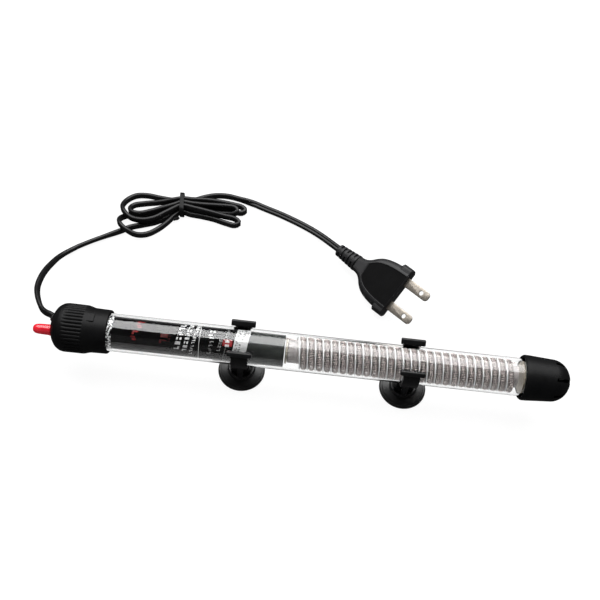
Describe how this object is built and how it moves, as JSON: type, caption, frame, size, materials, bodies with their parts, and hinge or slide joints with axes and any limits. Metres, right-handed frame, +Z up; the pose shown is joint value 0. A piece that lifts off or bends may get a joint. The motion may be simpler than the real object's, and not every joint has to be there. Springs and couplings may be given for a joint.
{
  "type": "submersible aquarium heater",
  "caption": "Glass-tube aquarium heater with a setting knob, thermostat, coil on a ceramic former, sliding clips with suction cups and a tied mains lead with plug.",
  "frame": {"origin": "centre of the heater's footprint, without its mains lead, on the plane that the suction cups rest on", "axes": "+X along the tube from the setting knob to the end guard, +Y towards the mains lead, +Z up from the suction cups"},
  "size_m": [0.3364, 0.156, 0.0463],
  "materials": {
    "clear_glass": "clear polished quartz glass",
    "head_plastic": "moulded black plastic with a soft sheen",
    "seal_rubber": "matt black rubber",
    "frame_board": "brown insulating board",
    "plated_steel": "plated steel",
    "mica": "grey mica",
    "amber_lamp": "neon indicator glass",
    "ceramic": "unglazed white ceramic",
    "wire_sleeve": "woven glass sleeving",
    "coil_metal": "oxidised resistance wire",
    "fibre": "white ceramic fibre wadding",
    "label_film": null,
    "paper_label": null,
    "guard_rubber": "soft black rubber guard",
    "cord_jacket": "flexible black vinyl jacket",
    "tie_plastic": "black twist tie",
    "plug_vinyl": "moulded black vinyl",
    "blade_metal": "nickel-plated blades",
    "red_plastic": "red translucent plastic",
    "screw_brass": "turned brass",
    "spring_copper": "copper-coloured spring strip",
    "clip_plastic": "moulded black plastic",
    "cup_rubber": "soft black rubber"
  },
  "bodies": {
    "root": {"glass_tube": "clear_glass", "head_cap": "head_plastic", "head_seal": "seal_rubber", "cap_gasket": "seal_rubber", "cord_gland": "seal_rubber", "spindle_oring": "seal_rubber", "thermostat_frame": "frame_board", "screw_bracket": "plated_steel", "arm_post": "mica", "bimetal_post": "mica", "snap_magnet": "plated_steel", "neon_lamp": "amber_lamp", "lamp_resistor": "ceramic", "frame_rivet_1": "plated_steel", "frame_rivet_2": "plated_steel", "frame_rivet_3": "plated_steel", "live_wire": "wire_sleeve", "neutral_wire": "wire_sleeve", "ceramic_core": "ceramic", "heating_coil": "coil_metal", "upper_mica_disc": "mica", "lower_mica_disc": "mica", "fibre_pad": "fibre", "element_lead": "coil_metal", "return_lead": "coil_metal", "label_sleeve": "label_film", "spec_sticker": "paper_label", "end_guard": "guard_rubber", "cord_lead": "cord_jacket", "cord_hank": "cord_jacket", "cord_tail": "cord_jacket", "cord_tie": "tie_plastic", "plug_body": "plug_vinyl", "plug_blade_1": "blade_metal", "plug_blade_2": "blade_metal"},
    "knob": {"temperature_knob": "red_plastic", "knob_spindle": "plated_steel", "adjuster_screw": "screw_brass"},
    "slider": {"adjuster_slider": "screw_brass"},
    "arm": {"contact_arm": "spring_copper"},
    "bimetal": {"bimetal_strip": "spring_copper"},
    "head_clip": {"clip_head": "clip_plastic"},
    "head_cup": {"suction_cup_head": "cup_rubber"},
    "tail_clip": {"clip_tail": "clip_plastic"},
    "tail_cup": {"suction_cup_tail": "cup_rubber"}
  },
  "joints": [
    {"name": "knob_turn", "type": "hinge", "parent": "root", "child": "knob", "pos_m": [-0.151, -0.003, 0.0315], "axis": [1, 0, 0], "range_deg": [-150, 150]},
    {"name": "adjuster_slide", "type": "slide", "parent": "root", "child": "slider", "axis": [1, 0, 0], "range_m": [-0.00083, 0.00083]},
    {"name": "contact_arm_flex", "type": "hinge", "parent": "root", "child": "arm", "pos_m": [-0.063, -0.003, 0.0375], "axis": [0, 1, 0], "range_deg": [-0.66, 0.66]},
    {"name": "bimetal_flex", "type": "hinge", "parent": "root", "child": "bimetal", "pos_m": [-0.031, -0.003, 0.0339], "axis": [0, -1, 0], "range_deg": [0, 2.5], "stiffness_Nm_per_rad": 0.5},
    {"name": "head_clip_slide", "type": "slide", "parent": "root", "child": "head_clip", "axis": [1, 0, 0], "range_m": [-0.07, 0.04]},
    {"name": "head_cup_swivel", "type": "hinge", "parent": "head_clip", "child": "head_cup", "pos_m": [-0.0367, 0, 0.004], "axis": [0, 0, 1], "continuous": true},
    {"name": "tail_clip_slide", "type": "slide", "parent": "root", "child": "tail_clip", "axis": [1, 0, 0], "range_m": [-0.032, 0.055]},
    {"name": "tail_cup_swivel", "type": "hinge", "parent": "tail_clip", "child": "tail_cup", "pos_m": [0.0661, 0, 0.004], "axis": [0, 0, 1], "continuous": true}
  ],
  "couplings": [
    {"joint": "knob_turn", "follows": "adjuster_slide", "rad_per_m": 3141.6},
    {"joint": "contact_arm_flex", "follows": "adjuster_slide", "rad_per_m": -13.333}
  ]
}
